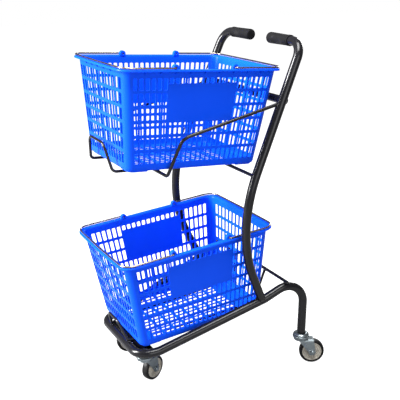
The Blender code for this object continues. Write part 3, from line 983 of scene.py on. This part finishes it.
def slottedSheet(name, columns, rows, values):
    seedMesh = bpy.data.meshes.new(name + "Seed")
    wanted = {"Columns": columns, "Rows": rows, "Look": looks["basket_plastic"], "Slot Cell": cells[0],
              "Short Slot Cell": cells[1], "Plain Cell": cells[2], **values}
    return runTree(name, slotTree, seedMesh, wanted)


def wallMesh():
    spec = basket
    period = spec["longColumns"] + spec["shortColumns"] + 2 * spec["cornerColumns"]
    columns, rows = 2 * period, 11
    flat = slottedSheet("basketWallSheet", columns, rows, {
        "Period": float(period), "Long Side Columns": float(spec["longColumns"]),
        "Corner Columns": float(spec["cornerColumns"]), "Short Side Columns": float(spec["shortColumns"]),
        "Panel Start": float(spec["panelColumns"][0]), "Panel End": float(spec["panelColumns"][1]),
        "Panel Bottom Row": 5.0, "Top Slot Row": 7.0, "First Slot Row": 2.0})
    shape = bmesh.new()
    shape.from_mesh(flat)
    for vert in shape.verts:
        column = vert.co.x + columns / 2
        offset, height = profileAt(vert.co.y + rows / 2)
        vert.co = roundSheet(column, offset, height)
    bmesh.ops.remove_doubles(shape, verts=shape.verts, dist=0.00002)
    bmesh.ops.recalc_face_normals(shape, faces=shape.faces)
    outside = sum(f.normal.xy.dot(f.calc_center_median().xy) for f in shape.faces)
    if outside < 0:
        bmesh.ops.reverse_faces(shape, faces=shape.faces)
    sheet = meshFrom(shape, "basketWall", recalculate=False)
    return thicken("basketWall", sheet, spec["wall"], -1.0, 0.00035)


def floorMesh():
    spec = basket
    columns, rows = 14, 10
    flat = slottedSheet("basketFloorSheet", columns, rows, {
        "Period": 1000.0, "Long Side Columns": 900.0, "Corner Columns": 1.0, "Short Side Columns": 1.0,
        "Panel Start": -2.0, "Panel End": -1.0, "Panel Bottom Row": 0.0, "Top Slot Row": 8.0,
        "First Slot Row": 1.0})
    halfX, halfY, radius, _ = outlineAt(-0.0140, 0.0030)
    shape = bmesh.new()
    shape.from_mesh(flat)
    for vert in shape.verts:
        x = vert.co.x / (columns / 2) * halfX
        y = vert.co.y / (rows / 2) * halfY
        inX, inY = abs(x) - (halfX - radius), abs(y) - (halfY - radius)
        if inX > 0 and inY > 0:
            squeeze = max(inX, inY) / math.hypot(inX, inY)
            x = math.copysign(halfX - radius + inX * squeeze, x)
            y = math.copysign(halfY - radius + inY * squeeze, y)
        vert.co = (x, y, 0.0030)
    for face in shape.faces:
        face.normal_update()
        if face.normal.z > 0:
            face.normal_flip()
    sheet = meshFrom(shape, "basketFloor", recalculate=False)
    return thicken("basketFloor", sheet, spec["wall"], -1.0, 0.0003)


def lugMesh(way, sign):
    # rounded ear on the rim with a bore for the wire
    count = 48
    outline = []
    for a, b in circle(1.0, count):
        if b >= 0:
            outline.append((0.0085 * a, 0.0088 * b))
        else:
            reach = min(0.0085 / max(abs(a), 1e-6), 0.0060 / abs(b))
            outline.append((a * reach, b * reach))
    inner, outer = basket["lug"]
    thick = (outer - inner) / 2
    mesh = extrudeOutline("lug", outline, -thick, thick, 0.0008, circle(0.0028, count))
    stand = Matrix(((0, 0, 1, 0), (1, 0, 0, 0), (0, 1, 0, 0), (0, 0, 0, 1)))
    spot = Matrix.Translation((sign * (inner + outer) / 2, way * basket["pivotY"], basket["pivotZ"]))
    mesh.transform(spot @ stand)
    return mesh


def footMeshes():
    # a curved runner under each corner of the floor
    feet = []
    for signX in (1, -1):
        for signY in (1, -1):
            halfX, halfY, radius, _ = outlineAt(-0.0100, 0.0030)
            corners = [(signX * halfX, signY * (halfY - 0.050), 0.0020, 0.0),
                       (signX * halfX, signY * halfY, 0.0020, radius),
                       (signX * (halfX - 0.050), signY * halfY, 0.0020, 0.0)]
            outline = [(-0.0035, 0.0018), (-0.0035, -0.0014), (-0.0028, -0.0020), (0.0028, -0.0020),
                       (0.0035, -0.0014), (0.0035, 0.0018)]
            feet.append(sweepMesh("foot", roundedPath(corners, 9.0), outline, 0.0006))
    return feet


def ribMeshes():
    # stiffening ribs under the rim on both long sides and ends
    ribs = []
    halfX, halfY, radius, bow = outlineAt(0.0, 0.2600)
    outline = [(0.0, 0.0), (0.0095, 0.0080), (0.0095, 0.0092), (0.0, 0.0092)]
    for sign in (1, -1):
        for k in range(-4, 5):
            mesh = extrudeOutline("rib", outline, -0.0006, 0.0006)
            stand = Matrix(((sign, 0, 0, 0), (0, 0, 1, 0), (0, 1, 0, 0), (0, 0, 0, 1)))
            mesh.transform(Matrix.Translation((sign * (halfX - 0.0002), k * 0.0420, 0.2548)) @ stand)
            if sign > 0:
                mesh.flip_normals()
            ribs.append(mesh)
        for k in range(-2, 3):
            x = k * 0.0420
            reach = halfY + bow * (1 - (x / (halfX - radius)) ** 2) - 0.0002
            mesh = extrudeOutline("rib", outline, -0.0006, 0.0006)
            stand = Matrix(((0, 0, 1, 0), (sign, 0, 0, 0), (0, 1, 0, 0), (0, 0, 0, 1)))
            mesh.transform(Matrix.Translation((x, sign * reach, 0.2548)) @ stand)
            if sign < 0:
                mesh.flip_normals()
            ribs.append(mesh)
    return ribs


def bailMesh(name, way):
    # folded wire handle: the ends turn in through the lugs and the bow follows the rim
    spec = basket
    outX, reach = spec["bailX"], spec["bailReach"]
    half = [(spec["lug"][0] + 0.0020, 0.0, 0.0, 0.0), (outX, 0.0, 0.0, 0.0045),
            (outX, way * reach, 0.0, 0.0330), (0.0600, way * (reach + 0.0018), 0.0, 0.1500)]
    corners = half + [(0.0, way * (reach + 0.0030), 0.0, 0.0)]
    corners += [(-x, y, z, r) for x, y, z, r in reversed(half)]
    return tubeMesh(name, corners, 0.0024, 16, 6.0)


cells = [hiddenCell("slotCell", -0.395, 0.395), hiddenCell("shortSlotCell", 0.02, 0.395),
         hiddenCell("plainCell", 0.0, 0.0)]
slotTree = makeSlotTree()


def buildBasket(tier):
    front = Vector(jointFacts[tier + "_bail_front_fold"]["pos_m"])
    rear = Vector(jointFacts[tier + "_bail_rear_fold"]["pos_m"])
    tilt = math.atan2(rear.z - front.z, rear.y - front.y)
    turn = Matrix.Rotation(tilt, 4, "X")
    seat = Matrix.Translation((front + rear) / 2) @ turn @ Matrix.Translation((0, 0, -basket["pivotZ"]))
    body = tier + "_basket_body"
    addPiece(tier + "BasketWall", wallMesh(), "basket_plastic", body, [tier + "_basket"], seat)
    addPiece(tier + "BasketFloor", floorMesh(), "basket_plastic", body, [], seat)
    lugs = [lugMesh(way, sign) for way in (1, -1) for sign in (1, -1)]
    addPiece(tier + "BasketLugs", joinMeshes("lugs", lugs), "basket_plastic", body, [], seat)
    addPiece(tier + "BasketFeet", joinMeshes("feet", footMeshes()), "basket_plastic", body, [], seat)
    addPiece(tier + "BasketRibs", joinMeshes("ribs", ribMeshes()), "basket_plastic", body, [], seat)
    for end, way in (("front", -1), ("rear", 1)):
        pivot = Vector(jointFacts["%s_bail_%s_fold" % (tier, end)]["pos_m"])
        mesh = bailMesh("%sBail_%s" % (tier, end), way)
        addPiece("%sBailWire_%s" % (tier, end), mesh, "bail_wire", "%s_%s_bail" % (tier, end),
                 ["%s_bail_%s" % (tier, end)], Matrix.Translation(pivot) @ turn)


for tier in ("upper", "lower"):
    buildBasket(tier)
for cell in cells:
    bpy.data.objects.remove(cell, do_unlink=True)
print("baskets and bails made")


# studio

studio = {
    "cameraPlace": (1.8326, -1.0036, 1.1636),
    "azimuth": 62.98,
    "elevation": 17.22,
    "lens": 67.4,
    "shift": (0.0608, -0.0190),
    "floorHalf": 12.0,
    "skyStrength": 0.20,                    # what lights the model; the camera itself sees plain white
    "floorGlow": 0.16,                      # what the floor gives off; the camera sees it as plain white
}
lamps = {
    "keySoftbox": ((-0.9, -3.1, 1.9), (0.0, 0.0, 0.50), (0.8, 2.0), 640.0),
    "topSheet": ((0.6, -0.3, 3.2), (0.0, 0.0, 0.4), (1.6, 1.6), 200.0),
    "sideFill": ((3.4, -0.2, 1.3), (0.0, 0.0, 0.45), (2.2, 2.2), 62.0),
    "rearStrip": ((-1.6, 2.4, 1.6), (0.0, 0.0, 0.5), (0.4, 1.8), 40.0),
}


def buildStudio():
    a, e = math.radians(studio["azimuth"]), math.radians(studio["elevation"])
    back = Vector((math.sin(a) * math.cos(e), -math.cos(a) * math.cos(e), math.sin(e)))
    lensData = bpy.data.cameras.new("studioCamera")
    lensData.lens = studio["lens"]
    lensData.sensor_width = 36.0
    lensData.shift_x, lensData.shift_y = studio["shift"]
    lensData.clip_end = 60.0
    camera = bpy.data.objects.new("studioCamera", lensData)
    bpy.context.scene.collection.objects.link(camera)
    camera.location = studio["cameraPlace"]
    camera.rotation_euler = (-back).to_track_quat("-Z", "Y").to_euler()
    bpy.context.scene.camera = camera

    reach = studio["floorHalf"]
    plane = bpy.data.meshes.new("paleFloor")
    plane.from_pydata([(-reach, -reach, 0), (reach, -reach, 0), (reach, reach, 0), (-reach, reach, 0)], [],
                      [(0, 1, 2, 3)])
    cloth = Finish("paleStudioFloor", Roughness=0.85, Specular_IOR_Level=0.1, Emission_Strength=1.0)
    seen = cloth.node("ShaderNodeLightPath")
    glow = [studio["floorGlow"]] * 3
    cloth.feed(cloth.shader.inputs["Emission Color"], cloth.mix(seen, glow, (1.0, 1.0, 1.0)))
    tone = cloth.noise(1.3, 2.0)
    plane.materials.append(cloth.paint(cloth.mix(tone, (0.20, 0.20, 0.20), (0.23, 0.23, 0.23))))
    floor = bpy.data.objects.new("paleFloor", plane)
    bpy.context.scene.collection.objects.link(floor)

    for name, (place, target, size, power) in lamps.items():
        light = bpy.data.lights.new(name, "AREA")
        light.shape = "RECTANGLE"
        light.size, light.size_y = size
        light.energy = power
        lamp = bpy.data.objects.new(name, light)
        bpy.context.scene.collection.objects.link(lamp)
        lamp.location = place
        lamp.rotation_euler = (Vector(target) - Vector(place)).to_track_quat("-Z", "Y").to_euler()

    world = bpy.data.worlds.new("softStudio")
    world.use_nodes = True
    sky = Bench(world.node_tree)
    seen = sky.node("ShaderNodeLightPath")
    backdrop = world.node_tree.nodes["Background"]
    backdrop.inputs["Color"].default_value = (1.0, 1.0, 1.0, 1.0)
    sky.feed(backdrop.inputs["Strength"], studio["skyStrength"] + seen * (1.0 - studio["skyStrength"]))
    bpy.context.scene.world = world
    bpy.context.scene.view_settings.view_transform = "Standard"


buildStudio()
